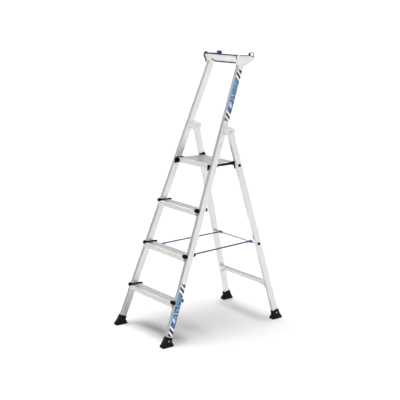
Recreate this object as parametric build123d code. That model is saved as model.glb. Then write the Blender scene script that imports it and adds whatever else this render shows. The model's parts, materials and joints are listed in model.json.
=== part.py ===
from build123d import *
from math import sqrt
import os

# A platform step ladder: a front frame with three treads and a tray, a rear frame that folds
# against it, a platform that tilts up as it folds, and two webbing straps that limit the opening.
# Millimetres. X to the right as seen by the climber, Y from the front (climbing side) to the rear,
# Z up. The origin is on the floor, in the middle of the four boots.
# The right-hand parts are modelled and the left-hand ones are their mirror images.

# ---- driving dimensions -------------------------------------------------------------------
leg_taper = 0.0665  # how far each leg moves inwards per mm of height
leg_depth = 36.0  # box section, front to rear
leg_wall = 1.8
leg_corner = 1.8

stile_width = 22.0
stile_half_span = 244.0  # centre plane to the stile's outer face, at the floor
stile_front_y = -418.0  # front face at the floor
stile_lean = 0.392  # backwards per mm of height
stile_top = 1511.0

rear_width = 20.0
rear_half_span = 241.66  # puts both legs' middles in line at the hinge
rear_face_y = 417.4  # rear face of the rear legs at the floor
rear_lean = -0.267  # forwards per mm of height

leg_foot = 22.0  # height of the legs' lower ends, on their reference faces

tread_heights = {"lower": 233.0, "middle": 473.0, "upper": 713.0}
tread_nose = 17.0  # in front of the stile's front face
tread_tail = 54.0  # behind the same face
tread_depth = tread_nose + tread_tail
tread_thickness = 28.0
tread_skin = 2.4
tread_corner = 3.5
tread_lip = 7.0  # turned-in edges under the tread
rib_pitch = 6.0
rib_groove = 2.6
rib_depth = 1.1
bead_radius = 1.8  # ridge along a tread's front face
bead_drop = 11.0  # below the tread's top

cap_thickness = 5.5
cap_rise = 5.5  # the cap's upper edge stands above the tread
cap_open_drop = 6.0  # below this the cap's front leaves the tread's own end in view
cap_gap = 0.4  # play between a cap's lugs and the stile
cap_corner = 4.0
lug_edge = 2.5  # rounding of a lug's outer end
front_lug_place = (-9.5, 1.0)  # behind the stile's front face, above the tread's top
front_lug_radius = 11.5
front_lug_reach = 12.0  # outwards from the stile's inner face
rear_lug_place = (53.0, -1.5)
rear_lug_radius = 7.0
rear_lug_reach = 10.0
ear_place = (60.0, -3.0)  # flat ear of the cap, behind the tread
ear_radius = 9.5
cap_foot = 46.0  # behind the stile's front face, the cap's rear edge below its ear
cap_foot_drop = 8.0  # height below which that edge runs along the stile

screw_radius = 3.0
screw_port_radius = 5.5
screw_length = 22.0
screw_head_radius = 5.0
screw_drop = 7.0  # screw ports' height above the middle of the tread
screw_port_offsets = (1.0, 17.0)  # behind the middle of the tread's depth

hinge_y = 97.0  # axis of the rear frame's hinge, parallel to X
hinge_z = 1126.0
hinge_pin_radius = 4.0
hinge_play = 0.05
hinge_plate = 2.4
hinge_plate_outline = [(49, 1168), (54, 1170), (121, 1139), (125, 1131), (117, 1106), (34, 1113)]
saddle_web = [(84, 1156.1), (121, 1139), (120.2, 1137.2), (83.2, 1154.3)]
saddle_rivet_heights = (1124.0, 1150.0)
saddle_rivet_offset = 24.0  # behind the stile's front face
pin_head_radius = 8.0

platform_top = 954.0
platform_front_y = -39.0
platform_rear_y = 138.0
platform_pivot_y = -29.5
platform_pivot_z = 940.0
platform_half_front = 155.0  # outer half width over the side rails, at the pivot
platform_taper = 0.0725  # narrower towards the rear, per mm
platform_skin = 4.0
platform_flange = 25.0  # height of the walls under the deck, with its skin
flange_wall = 3.0
deck_corner_half = 145.0  # the deck's front corners are cut back to this half width
deck_corner_y = -25.0
side_rail = 6.0
side_rail_height = 13.5
rail_front_y = -38.0
scallop_depth = 1.5
scallop_half_length = 15.0
pivot_pin_radius = 4.0

rest_pin_y = 150.0
rest_pin_z = 933.0
rest_pin_radius = 5.0
rest_pin_inner = 128.0  # inner end of the pin, from the centre plane
hook_inner = 131.0
guide_thickness = 6.0  # on the leg's inner face
guide_wrap = 3.0  # over the leg's front face
guide_lap = 4.0  # how far it covers that face
guide_span = (925.0, 967.0)
guide_wrap_span = (938.0, 968.0)

bracket_plate = 1.4
bracket_low = 923.0
bracket_high = 957.0
bracket_depth = 53.0
nose_inner = 148.0
nose_high = 954.0
nose_front_y = -56.0
nose_rear_y = -44.0

crossbar_y = 274.0
crossbar_z = 466.0
crossbar_radius = 6.0
crossbar_wall = 1.5
plug_head_radius = 8.5

brace_front_y = 322.0
brace_rear_y = 352.0
brace_top = 230.0
brace_height = 18.0
bracket_thickness = 2.5
saddle_reach = 34.0  # inwards from the leg's inner face, over the brace
shelf_reach = 42.0  # the same, inside the brace
saddle_wrap = 2.0  # thickness over and beside the brace

strap_width = 22.0
strap_thickness = 1.6
strap_front_x = 150.0
strap_rear_x = 141.0
strap_front_y = -170.0
strap_front_z = 460.0
strap_rear_y = 264.5
strap_rear_z = 469.0
strap_bend = 0.4606  # share of the strap's length where it folds, from its front end
anchor_half_width = 14.0
anchor_sheet = 1.6

sole_length = 72.0
sole_width = 37.0
front_sole_y = -394.0
rear_sole_y = 393.0
boot_wall = 3.0
boot_collar_z = 58.0  # on the legs' reference faces
boot_waist_z = 26.0
boot_waist_depth = 52.0
boot_corner = 5.0
sole_thickness = 8.0

tray_half = 149.0
tray_front_y = 149.0
tray_rear_y = 274.0
tray_floor = 1500.0
tray_wall = 3.0
pocket_inner = 114.0  # the pocket over a stile's top starts this far from the centre plane
pocket_high = 1516.0
cheek_skin = 5.5
rim_front_low = 1539.5
rim_front_high = 1545.0
rim_thickness = 3.0  # along the ends and the rear
rim_overhang = 1.5
rim_drop_span = (143.5, 147.0)  # X of the bar that turns down at the right front corner
rim_drop_low = 1520.0
stud_y = 162.5
stud_boss_half = 6.5
ring_x = tray_half - 1.5
ring_y = 256.0
ring_z = 1540.7
ring_radius = 16.0
ring_bore = 12.6
clip_ears = (-15.5, 3.0)  # X of the two round ears
clip_ear_radius = 9.0
clip_ear_z = 1553.4

far = 2000.0  # longer than the whole ladder, for cutting tools


# ---- legs -----------------------------------------------------------------------------------
class Leg:
    """A straight box-section leg on the right-hand side, placed by its outer edge line."""

    def __init__(self, half_span, face_y, lean, width, centre_behind_face):
        self.half_span = half_span
        self.face_y = face_y
        self.lean = lean
        self.width = width
        self.to_centre = centre_behind_face
        self.along = Vector(-leg_taper, lean, 1).normalized()
        self.across = (Vector(1, 0, 0) - self.along * self.along.X).normalized()
        self.rearward = self.along.cross(self.across)
        self.stretch = sqrt(1 + lean**2 + leg_taper**2)

    def face(self, height):
        """Y of the reference face at a height."""
        return self.face_y + self.lean * height

    def outer(self, height):
        """X of the outer face at a height."""
        return self.half_span - leg_taper * height

    def face_x(self, outward, y, z):
        """X of the outer (outward = 1) or inner (-1) face at a point's Y and Z."""
        edge = Vector(self.half_span, self.face_y, 0)
        if outward < 0:
            edge = edge - self.across * self.width
        return (self.across.dot(edge) - self.across.Y * y - self.across.Z * z) / self.across.X

    def plane(self, height):
        """Section plane at a height: X outwards, Y to the rear, Z up along the leg."""
        edge = Vector(self.outer(height), self.face(height), height)
        centre = edge - self.across * (self.width / 2) + self.rearward * self.to_centre
        return Plane(origin=centre, x_dir=self.across, z_dir=self.along)

    def side_plane(self, height, outward):
        """Plane of the outer (outward = 1) or inner (-1) face: X is horizontal to the rear,
        Y is up, and the origin is on the reference face's edge at that height."""
        edge = Vector(self.outer(height), self.face(height), height)
        if outward < 0:
            edge = edge - self.across * self.width
        horizontal = Vector(0, 0, 1).cross(self.across).normalized()
        return Plane(origin=edge, x_dir=horizontal, z_dir=self.across)

    def bar(self, section, low, high):
        """A section carried along the leg from one height to another."""
        return extrude(self.plane(low) * section, (high - low) * self.stretch, dir=self.along)

    def blank(self, low, high, grow=0.0):
        """Solid bar of the leg's outer section."""
        width = self.width + 2 * grow
        section = RectangleRounded(width, leg_depth + 2 * grow, leg_corner + grow)
        return self.bar(section, low, high)

    def tube(self, low, high):
        """The hollow leg itself."""
        outer = RectangleRounded(self.width, leg_depth, leg_corner)
        hollow_width = self.width - 2 * leg_wall
        inner = RectangleRounded(hollow_width, leg_depth - 2 * leg_wall, leg_corner - leg_wall / 2)
        return self.bar(outer - inner, low, high)

    def end_cutter(self, height, inward):
        """Tool that trims a cross piece at a distance inwards from the leg's inner face."""
        face = self.side_plane(height, -1)
        start = Plane(origin=face.origin - face.z_dir * inward, x_dir=face.x_dir, z_dir=face.z_dir)
        return extrude(start * Rectangle(far / 2, far / 2), far / 2)


stile = Leg(stile_half_span, stile_front_y, stile_lean, stile_width, leg_depth / 2)
rear_leg = Leg(rear_half_span, rear_face_y, rear_lean, rear_width, -leg_depth / 2)


def x_rod(radius, x_low, x_high, y, z):
    """Cylinder parallel to X."""
    circle = Plane(origin=(x_low, y, z), x_dir=(0, 1, 0), z_dir=(1, 0, 0)) * Circle(radius)
    return extrude(circle, x_high - x_low)


def yz_prism(points, x_low, x_high):
    """Extrusion along X of an outline given as (y, z) points."""
    plane = Plane(origin=(x_low, 0, 0), x_dir=(0, 1, 0), z_dir=(1, 0, 0))
    return extrude(plane * make_face(Polyline(*points, close=True).edges()), x_high - x_low)


def xz_prism(points, y_low, y_high):
    """Extrusion along Y of an outline given as (x, z) points."""
    plane = Plane(origin=(0, y_high, 0), x_dir=(1, 0, 0), z_dir=(0, -1, 0))
    return extrude(plane * make_face(Polyline(*points, close=True).edges()), y_high - y_low)


def block(x_low, x_high, y_low, y_high, z_low, z_high):
    """Box between two corners."""
    size = (x_high - x_low, y_high - y_low, z_high - z_low)
    middle = ((x_high + x_low) / 2, (y_high + y_low) / 2, (z_high + z_low) / 2)
    return Pos(*middle) * Box(*size)


def mirrored(shape):
    """The same piece on the left-hand side."""
    return mirror(shape, about=Plane.YZ)


def both(shape):
    """A piece and its mirror image, kept as separate solids."""
    return shape.solids() + mirrored(shape).solids()


# ---- treads, their end caps and screws --------------------------------------------------------
def tread_plane(height):
    """YZ plane through the middle of a tread's section."""
    middle = stile.face(height) + (tread_tail - tread_nose) / 2
    centre_z = height - tread_thickness / 2
    return Plane(origin=(0, middle, centre_z), x_dir=(0, 1, 0), z_dir=(1, 0, 0))


def tread_profile(height):
    """Channel with a ribbed top, two screw ports and lips on its flanges, in the YZ plane."""
    outer = RectangleRounded(tread_depth, tread_thickness, tread_corner)
    inner = Pos(0, -tread_skin / 2) * RectangleRounded(
        tread_depth - 2 * tread_skin, tread_thickness - tread_skin, tread_corner - 2.0
    )
    bottom = -tread_thickness / 2
    mouth = Pos(0, bottom) * Rectangle(tread_depth - 2 * tread_lip, 2 * tread_skin)
    underside = Pos(0, bottom + tread_skin / 2) * Rectangle(tread_depth - 4, tread_skin)
    profile = (outer - inner) + (underside - mouth)
    bead_y = -tread_depth / 2 + bead_radius / 3
    profile += Pos(bead_y, tread_thickness / 2 - bead_drop) * Circle(bead_radius)
    for port_y in screw_port_offsets:
        profile += Pos(port_y, screw_drop) * Circle(screw_port_radius)
        profile -= Pos(port_y, screw_drop) * Circle(screw_radius)
    count = int((tread_depth - 12) / rib_pitch)
    for index in range(count):
        groove_y = (index - (count - 1) / 2) * rib_pitch
        profile -= Pos(groove_y, tread_thickness / 2) * Rectangle(rib_groove, 2 * rib_depth)
    return tread_plane(height) * profile


def nose_end(height):
    """Space at a tread's end, in front of the stile and under the cap's upper strip."""
    front = stile.face(height) - tread_nose - 5
    low = height - tread_thickness - 5
    high = height - cap_open_drop
    outline = [(front, low), (stile.face(low) - 1, low), (stile.face(high) - 1, high), (front, high)]
    return yz_prism(outline, 0, far)


def tail_end(height):
    """Space behind an end cap's lower part, whose rear edge runs along the stile."""
    rear = stile.face(height) + tread_tail + 5
    low = height - tread_thickness - 5
    high = height - cap_foot_drop
    low_y = stile.face(low) + cap_foot
    high_y = stile.face(high) + cap_foot
    return yz_prism([(low_y, low), (rear, low), (rear, high), (high_y, high)], 0, far)


def tread(height):
    """Tread cut to length between its two end caps, with closed ends in front of the stiles."""
    bar = extrude(tread_profile(height), far / 4, both=True)
    cutter = stile.end_cutter(height, cap_thickness)
    outline = tread_plane(height) * RectangleRounded(tread_depth, tread_thickness, tread_corner)
    closing = (extrude(outline, far / 4) & nose_end(height) & cutter) - stile.end_cutter(height, 0.5)
    return bar - cutter - mirrored(cutter) + closing + mirrored(closing)


def lug(plane, place, radius, reach, height):
    """Round knob of an end cap, reaching out beside the stile and cut back to clear it."""
    circle = plane * (Pos(*place) * Circle(radius))
    knob = extrude(circle, reach)
    knob = fillet(knob.faces().sort_by(Axis.X)[-1].edges(), lug_edge)
    knob -= stile.blank(height - 120, height + 120, cap_gap)
    return knob + (extrude(circle, -cap_thickness) - nose_end(height))


def end_cap(height):
    """Plate between tread and stile, with a lug in front of the stile, and a lug and a flat
    ear behind it."""
    plane = stile.side_plane(height, -1)
    bottom = -tread_thickness - 0.5
    outline = Pos((tread_tail - tread_nose) / 2, (cap_rise + bottom) / 2) * RectangleRounded(
        tread_depth + 1, cap_rise - bottom, cap_corner
    )
    cap = extrude(plane * outline, -cap_thickness) - nose_end(height) - tail_end(height)
    cap += extrude(plane * (Pos(*ear_place) * Circle(ear_radius)), -cap_thickness)
    cap += lug(plane, front_lug_place, front_lug_radius, front_lug_reach, height)
    cap += lug(plane, rear_lug_place, rear_lug_radius, rear_lug_reach, height)
    for screw in screws(height):
        cap -= screw
    return cap


def screw_plane(height, offset):
    """Where a tread screw's axis crosses the stile's inner wall; the axis is parallel to X."""
    y = stile.face(height) + (tread_tail - tread_nose) / 2 + offset
    z = height - tread_thickness / 2 + screw_drop
    return stile.face_x(-1, y, z), y, z


def screws(height):
    """Two screws from inside the stile's box section into the tread's ports."""
    result = []
    for offset in screw_port_offsets:
        x, y, z = screw_plane(height, offset)
        head_start = x + leg_wall + 0.6
        shank = x_rod(screw_radius - 0.05, head_start - screw_length, head_start + 1, y, z)
        head = x_rod(screw_head_radius, head_start, head_start + 3.5, y, z)
        result.append(shank + head)
    return result


# ---- hinge between the two frames -----------------------------------------------------------
def hinge_saddle():
    """Two plates on the stile's faces, joined by a web over the rear leg's top."""
    outer_plane = stile.side_plane(hinge_z, 1)
    inner_plane = stile.side_plane(hinge_z, -1)
    outline = make_face(Polyline(*hinge_plate_outline, close=True).edges())
    outline = fillet(outline.vertices(), 3.0)
    prism = extrude(Plane(origin=(0, 0, 0), x_dir=(0, 1, 0), z_dir=(1, 0, 0)) * outline, 300)
    slab_outer = extrude(outer_plane * Rectangle(400, 400), hinge_plate)
    slab_inner = extrude(inner_plane * Rectangle(400, 400), -hinge_plate)
    between = extrude(inner_plane * Rectangle(400, 400), stile_width)
    saddle = (prism & slab_outer) + (prism & slab_inner)
    saddle += yz_prism(saddle_web, 100, 200) & between
    return saddle


def hinge_pin():
    """Rivet through the saddle and the rear leg, with a head on each plate."""
    x_outer = stile.face_x(1, hinge_y, hinge_z) + hinge_plate
    x_inner = stile.face_x(-1, hinge_y, hinge_z) - hinge_plate
    shank = x_rod(hinge_pin_radius, x_inner - 1, x_outer + 1, hinge_y, hinge_z)
    head = x_rod(pin_head_radius, x_outer - 0.7, x_outer + 2.8, hinge_y, hinge_z)
    head = fillet(head.faces().sort_by(Axis.X)[-1].edges(), 1.6)
    tail = x_rod(pin_head_radius - 1, x_inner - 2.4, x_inner + 0.7, hinge_y, hinge_z)
    return (head - hinge_saddle()) + shank + (tail - hinge_saddle())


def saddle_rivets():
    """Rivets that hold the saddle to the stile: heads outside and inside, shanks through."""
    rivets = []
    for height in saddle_rivet_heights:
        y = stile.face(height) + saddle_rivet_offset
        x_outer = stile.face_x(1, y, height) + hinge_plate
        x_inner = stile.face_x(-1, y, height) - hinge_plate
        shank = x_rod(2.4, x_inner - 0.6, x_outer + 0.6, y, height)
        head = x_rod(5.0, x_outer - 0.4, x_outer + 1.8, y, height)
        head = fillet(head.faces().sort_by(Axis.X)[-1].edges(), 1.0)
        tail = x_rod(4.0, x_inner - 1.6, x_inner + 0.4, y, height)
        rivets.append((head - hinge_saddle()) + shank + (tail - hinge_saddle()))
    return rivets


# ---- platform -------------------------------------------------------------------------------
def platform_half(y, inset=0.0):
    """Half width of the platform over its side rails at a y."""
    return platform_half_front - platform_taper * (y - platform_pivot_y) - inset


def platform_plate(inset, z_low, z_high, y_low=platform_front_y, y_high=platform_rear_y):
    """Horizontal plate with the platform's tapered outline."""
    points = [
        (-platform_half(y_low, inset), y_low),
        (platform_half(y_low, inset), y_low),
        (platform_half(y_high, inset), y_high),
        (-platform_half(y_high, inset), y_high),
    ]
    face = Plane.XY.offset(z_low) * make_face(Polyline(*points, close=True).edges())
    return extrude(face, z_high - z_low)


def platform_deck():
    """Ribbed plate with a front and a rear flange and two stiffeners under it. Its front
    corners are cut back, so that they pass the brackets' noses when it tilts."""
    deck = platform_plate(0, platform_top - platform_skin, platform_top)
    low = platform_top - platform_flange
    body = platform_plate(side_rail, low, platform_top)
    for wall_y in (platform_front_y, 20.0, 75.0, platform_rear_y - flange_wall):
        deck += body & block(-300, 300, wall_y, wall_y + flange_wall, low, platform_top)
    deck = fillet(deck.edges().filter_by(Axis.X).group_by(Axis.Z)[-1].group_by(Axis.Y)[0], 2.0)
    corner = block(deck_corner_half, 300, platform_front_y - 1, deck_corner_y, 0, far)
    deck = deck - corner - mirrored(corner)
    count = int((platform_rear_y - platform_front_y - 16) / rib_pitch)
    middle = (platform_rear_y + platform_front_y) / 2
    groove_low = platform_top - rib_depth
    for index in range(count):
        y = middle + (index - (count - 1) / 2) * rib_pitch
        width = platform_half(y, 8.0)
        if y < deck_corner_y + rib_groove:
            width = deck_corner_half - 3.0
        low_y = y - rib_groove / 2
        deck -= block(-width, width, low_y, low_y + rib_groove, groove_low, platform_top + 1)
    return deck


def platform_rail():
    """Black side rail under the deck's edge: pivot boss at the front, scalloped lower edge,
    hook at the rear."""
    top = platform_top - platform_skin
    low = top - side_rail_height
    rail = platform_plate(0, low, top, rail_front_y) - platform_plate(side_rail, low - 1, top + 1)
    rail = rail & block(0, 300, -300, 300, 0, far)
    scallop_radius = (scallop_half_length**2 + scallop_depth**2) / (2 * scallop_depth)
    for scallop_y in (4.0, 37.0, 70.0):
        centre_z = low + scallop_depth - scallop_radius
        rail -= x_rod(scallop_radius, 0, 300, scallop_y, centre_z)
    boss_front = platform_front_y + flange_wall + 0.2
    boss = platform_plate(0, platform_pivot_z - 9, top, boss_front, platform_pivot_y + 13)
    rail += boss & block(hook_inner + 6, 300, -300, 300, 0, far)
    hook_points = [
        (rest_pin_y - 38, top),
        (rest_pin_y + 14, top),
        (rest_pin_y + 14, rest_pin_z - 9),
        (rest_pin_y + 6, rest_pin_z - 9),
        (rest_pin_y + 6, rest_pin_z),
        (rest_pin_y - 6, rest_pin_z),
        (rest_pin_y - 13, low),
        (rest_pin_y - 38, low),
    ]
    hook = yz_prism(hook_points, hook_inner, 300)
    hook = hook & platform_plate(0, 0, far, 100, rest_pin_y + 20)
    under_deck = block(0, 300, -300, platform_rear_y, 0, far) & platform_plate(side_rail, 0, far)
    rail += hook - under_deck
    rail -= x_rod(rest_pin_radius + 0.4, 0, 300, rest_pin_y, rest_pin_z)
    rail -= x_rod(pivot_pin_radius + hinge_play, 0, 300, platform_pivot_y, platform_pivot_z)
    return rail


def pivot_pin():
    """Pin of the platform's front corner, fixed in the stile's inner wall."""
    wall_x = stile.face_x(-1, platform_pivot_y, platform_pivot_z)
    return x_rod(pivot_pin_radius, hook_inner + 4, wall_x + 5.0, platform_pivot_y, platform_pivot_z)


def platform_bracket():
    """Thin plate on the stile's inner face with a rounded nose at the platform's front corner."""
    low_y = stile.face(bracket_low)
    high_y = stile.face(bracket_high)
    outline = [
        (low_y, bracket_low),
        (low_y + bracket_depth, bracket_low),
        (high_y + bracket_depth, bracket_high),
        (high_y, bracket_high),
    ]
    face_plane = stile.side_plane(platform_pivot_z, -1)
    slab = extrude(face_plane * Rectangle(400, 400), -bracket_plate)
    plate = yz_prism(outline, 100, 200) & slab
    nose = block(nose_inner, 170, nose_front_y, nose_rear_y, bracket_low, nose_high)
    nose = fillet(nose.edges().filter_by(Axis.Z).group_by(Axis.X)[0], 4.0)
    nose = fillet(nose.faces().sort_by(Axis.Z)[-1].edges().filter_by(Axis.X), 3.0)
    nose -= stile.end_cutter(platform_pivot_z, bracket_plate)
    bracket = plate + nose
    bracket -= x_rod(pivot_pin_radius, 100, 200, platform_pivot_y, platform_pivot_z)
    return bracket


# ---- rear frame ------------------------------------------------------------------------------
def rear_leg_tube():
    """Rear leg with a rounded top about the hinge axis and its cross holes."""
    leg = rear_leg.tube(leg_foot, hinge_z + 40)
    above = block(0, 400, -100, 300, hinge_z, hinge_z + 200)
    above = Pos(0, hinge_y, hinge_z) * Rot(X=15) * Pos(0, -hinge_y, -hinge_z) * above
    leg -= above - x_rod(leg_depth / 2 + 0.5, 0, 400, hinge_y, hinge_z)
    leg -= x_rod(hinge_pin_radius + hinge_play, 0, 400, hinge_y, hinge_z)
    leg -= x_rod(rest_pin_radius, 0, 400, rest_pin_y, rest_pin_z)
    leg -= x_rod(crossbar_radius, 0, 400, crossbar_y, crossbar_z)
    return leg


def rest_pin():
    """Pin that carries the platform's hook, with a round head outside the leg."""
    outer_x = rear_leg.face_x(1, rest_pin_y, rest_pin_z)
    pin = x_rod(rest_pin_radius, rest_pin_inner, outer_x + 1, rest_pin_y, rest_pin_z)
    head = x_rod(pin_head_radius, outer_x - 1, outer_x + 4.5, rest_pin_y, rest_pin_z)
    head = fillet(head.faces().sort_by(Axis.X)[-1].edges(), 2.0)
    return pin + (head - rear_leg.blank(700, 1100))


def rest_pin_guide():
    """Black angle on the leg's inner and front faces that the pin passes through."""
    inner_x = -rear_width / 2 - guide_thickness / 2
    inner = Pos(inner_x, -guide_wrap / 2) * RectangleRounded(
        guide_thickness, leg_depth + guide_wrap, 1.2
    )
    wrap_x = -rear_width / 2 + (guide_lap - guide_thickness) / 2
    wrap = Pos(wrap_x, -leg_depth / 2 - guide_wrap / 2) * RectangleRounded(
        guide_lap + guide_thickness, guide_wrap, 1.2
    )
    guide = rear_leg.bar(inner, *guide_span) + rear_leg.bar(wrap, *guide_wrap_span)
    return guide - x_rod(rest_pin_radius, 0, 400, rest_pin_y, rest_pin_z)


def crossbar():
    """Round tube through both rear legs."""
    end = rear_leg.face_x(1, crossbar_y, crossbar_z) + 0.8
    tube = x_rod(crossbar_radius, -end, end, crossbar_y, crossbar_z)
    bore = crossbar_radius - crossbar_wall
    return tube - x_rod(bore, -end - 1, end + 1, crossbar_y, crossbar_z)


def crossbar_plug():
    """Black plug in the crossbar's end, with a domed head outside the leg."""
    outer_x = rear_leg.face_x(1, crossbar_y, crossbar_z)
    bore = crossbar_radius - crossbar_wall
    stem = x_rod(bore, outer_x - 14, outer_x + 2, crossbar_y, crossbar_z)
    head = x_rod(plug_head_radius, outer_x - 1, outer_x + 4.5, crossbar_y, crossbar_z)
    head = fillet(head.faces().sort_by(Axis.X)[-1].edges(), 2.0)
    tube_end = x_rod(crossbar_radius, outer_x - 20, outer_x + 0.8, crossbar_y, crossbar_z)
    return (head - rear_leg.blank(300, 600) - tube_end) + stem


def brace_profile():
    """Small ribbed channel, open below, in the YZ plane."""
    middle_y = (brace_front_y + brace_rear_y) / 2
    depth = brace_rear_y - brace_front_y
    plane = Plane(
        origin=(0, middle_y, brace_top - brace_height / 2), x_dir=(0, 1, 0), z_dir=(1, 0, 0)
    )
    outer = RectangleRounded(depth, brace_height, 2.0)
    hollow = Pos(0, -2) * Rectangle(depth - 4, brace_height)
    profile = outer - hollow
    for index in range(4):
        groove_y = (index - 1.5) * rib_pitch
        profile -= Pos(groove_y, brace_height / 2) * Rectangle(rib_groove, 1.6)
    return plane * profile


def brace():
    """Lower brace between its two end brackets."""
    bar = extrude(brace_profile(), far / 4, both=True)
    cutter = rear_leg.end_cutter(brace_top, bracket_thickness)
    bar = bar - cutter - mirrored(cutter)
    for rivet in brace_rivets():
        bar = bar - rivet - mirrored(rivet)
    return bar


def brace_bracket():
    """Plate on the rear leg's inner face with a gusseted shelf inside the brace."""
    plane = rear_leg.side_plane(brace_top, -1)
    outline = Pos(-leg_depth / 2 - 1.5, -9) * RectangleRounded(29, 50, 4)
    plate = extrude(plane * outline, -bracket_thickness)
    inner_x = rear_leg.outer(brace_top) - rear_width
    low = brace_top - brace_height - 2.5
    shelf_x = inner_x - shelf_reach
    shelf_high = low + bracket_thickness
    shelf = block(shelf_x, inner_x + 2, brace_front_y + 1, brace_rear_y - 1, low, shelf_high)
    gusset_points = [(inner_x - 30, low), (inner_x + 2, low), (inner_x + 2, low - 20)]
    middle_y = (brace_front_y + brace_rear_y) / 2
    half = bracket_thickness / 2
    gusset = xz_prism(gusset_points, middle_y - half, middle_y + half)
    trim = extrude(plane * Rectangle(300, 300), 60)
    saddle_x = inner_x - saddle_reach
    saddle_front = brace_front_y - saddle_wrap
    saddle_rear = brace_rear_y + saddle_wrap
    saddle = block(saddle_x, inner_x + 2, saddle_front, saddle_rear, low, brace_top + saddle_wrap)
    saddle -= block(saddle_x - 1, inner_x + 9, brace_front_y, brace_rear_y, low - 1, brace_top)
    bracket = plate + ((shelf + gusset + saddle) - trim)
    for rivet in brace_rivets():
        bracket -= rivet
    return bracket


def brace_rivets():
    """Two rivets through each bracket's top, and two through its plate into the leg."""
    inner_x = rear_leg.outer(brace_top) - rear_width
    middle_y = (brace_front_y + brace_rear_y) / 2
    rivets = []
    for x in (inner_x - 24, inner_x - 12):
        shank = Pos(x, middle_y, brace_top) * Cylinder(2.0, 6)
        head = Pos(x, middle_y, brace_top + 2.8) * Cylinder(4.0, 1.6)
        rivets.append(shank + fillet(head.faces().sort_by(Axis.Z)[-1].edges(), 0.7))
    return rivets


# ---- straps ---------------------------------------------------------------------------------
def strap_point(share):
    """A point on the strap's centre line, from its front end (0) to its rear end (1)."""
    x = strap_front_x + (strap_rear_x - strap_front_x) * share
    y = strap_front_y + (strap_rear_y - strap_front_y) * share
    z = strap_front_z + (strap_rear_z - strap_front_z) * share
    return Vector(x, y, z)


def strap_length_of(start, end):
    """A flat run of webbing between two shares of its length."""
    first = strap_point(start)
    last = strap_point(end)
    run = last - first
    plane = Plane(origin=first, x_dir=(1, -run.X / run.Y, 0), z_dir=run.normalized())
    return extrude(plane * Rectangle(strap_width, strap_thickness), run.length)


def strap_anchor():
    """Bent metal tab under the middle tread's rear edge that the strap is sewn to."""
    tread_top = tread_heights["middle"]
    rear = stile.face(tread_top) + tread_tail
    low_x = strap_front_x - anchor_half_width
    high_x = strap_front_x + anchor_half_width
    tab = block(low_x, high_x, rear, rear + anchor_sheet, strap_front_z - 8, tread_top - 1)
    rod_y = strap_front_y - 3.2
    for x in (low_x, high_x - 2):
        tab += block(x, x + 2, rear, rod_y + 2.1, strap_front_z - 4, strap_front_z + 4)
    tab += x_rod(1.8, low_x + 1, high_x - 1, rod_y, strap_front_z)
    return tab


def strap_loop():
    """Sewn loop of webbing round the crossbar."""
    centre = strap_rear_x
    low_x = centre - strap_width / 2
    high_x = centre + strap_width / 2
    ring = x_rod(crossbar_radius + strap_thickness, low_x, high_x, crossbar_y, crossbar_z)
    tail_low = strap_rear_z - strap_thickness
    tail_high = strap_rear_z + strap_thickness
    tail = block(low_x, high_x, strap_rear_y + 0.5, crossbar_y, tail_low, tail_high)
    return (ring + tail) - x_rod(crossbar_radius, low_x - 1, high_x + 1, crossbar_y, crossbar_z)


# ---- boots ----------------------------------------------------------------------------------
def boot(leg, sole_y):
    """Rubber boot: flat flared sole, narrow waist, and a collar square to the leg."""
    floor_x = leg.outer(0) - leg.width / 2
    waist = leg.plane(boot_waist_z).origin
    sole = RectangleRounded(sole_width, sole_length, boot_corner)
    waist_section = RectangleRounded(leg.width + 8, boot_waist_depth, boot_corner)
    collar = RectangleRounded(leg.width + 2 * boot_wall, leg_depth + 2 * boot_wall, boot_corner)
    sections = [
        Plane.XY * Pos(floor_x, sole_y) * sole,
        Plane.XY.offset(sole_thickness) * Pos(floor_x, sole_y) * sole,
        Plane.XY.offset(boot_waist_z) * Pos(waist.X, (waist.Y * 2 + sole_y) / 3) * waist_section,
        leg.plane(boot_collar_z) * collar,
    ]
    shell = Solid.make_loft([section.wires()[0] for section in sections], ruled=True)
    return shell - leg.blank(leg_foot, 120)


def foot_rivet(leg, height, y):
    """Rivet through the boot's outer wall into the leg."""
    x = leg.face_x(1, y, height)
    wall = boot_wall + 1.0
    shank = x_rod(2.0, x - leg_wall - 1, x + wall, y, height)
    head = x_rod(4.2, x + wall - 0.6, x + wall + 1.4, y, height)
    return shank + fillet(head.faces().sort_by(Axis.X)[-1].edges(), 0.8)


# ---- tray -----------------------------------------------------------------------------------
tray_edge = [(tray_front_y, 1541.5), (171, 1540.5), (245, 1536.0), (tray_rear_y, 1527.5)]
tray_underside = [
    (262, 1507),
    (243, tray_floor),
    (tray_front_y + 5, tray_floor),
    (tray_front_y, tray_floor + 3),
]
cheek_outline = [
    (tray_front_y, 1512),
    (tray_front_y, tray_floor + 3),
    (155, 1493),
    (162, 1485),
    (173, 1476.5),
    (183, 1474),
    (195, 1477),
    (247, tray_floor + 1),
    (250, 1512),
]
pocket_outline = [
    (tray_front_y + 1, pocket_high),
    (tray_front_y + 6, tray_floor),
    (232, tray_floor),
    (232, pocket_high),
]


def below_edge(raised=0.0, half=tray_half):
    """Everything under the tray's upper edge, or under a line raised above it."""
    top = [(y, z + raised) for y, z in tray_edge]
    return yz_prism(top + [(tray_rear_y, 1400), (tray_front_y, 1400)], -half, half)


def left_corner_wedge():
    """What is cut from the tray's left front corner, which slants inwards going down."""
    outline = [(-160, 1534), (-148.5, 1534), (-134, 1516), (-126, 1494), (-122, 1484), (-160, 1484)]
    return xz_prism(outline, tray_front_y - 19, tray_front_y + 16)


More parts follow.
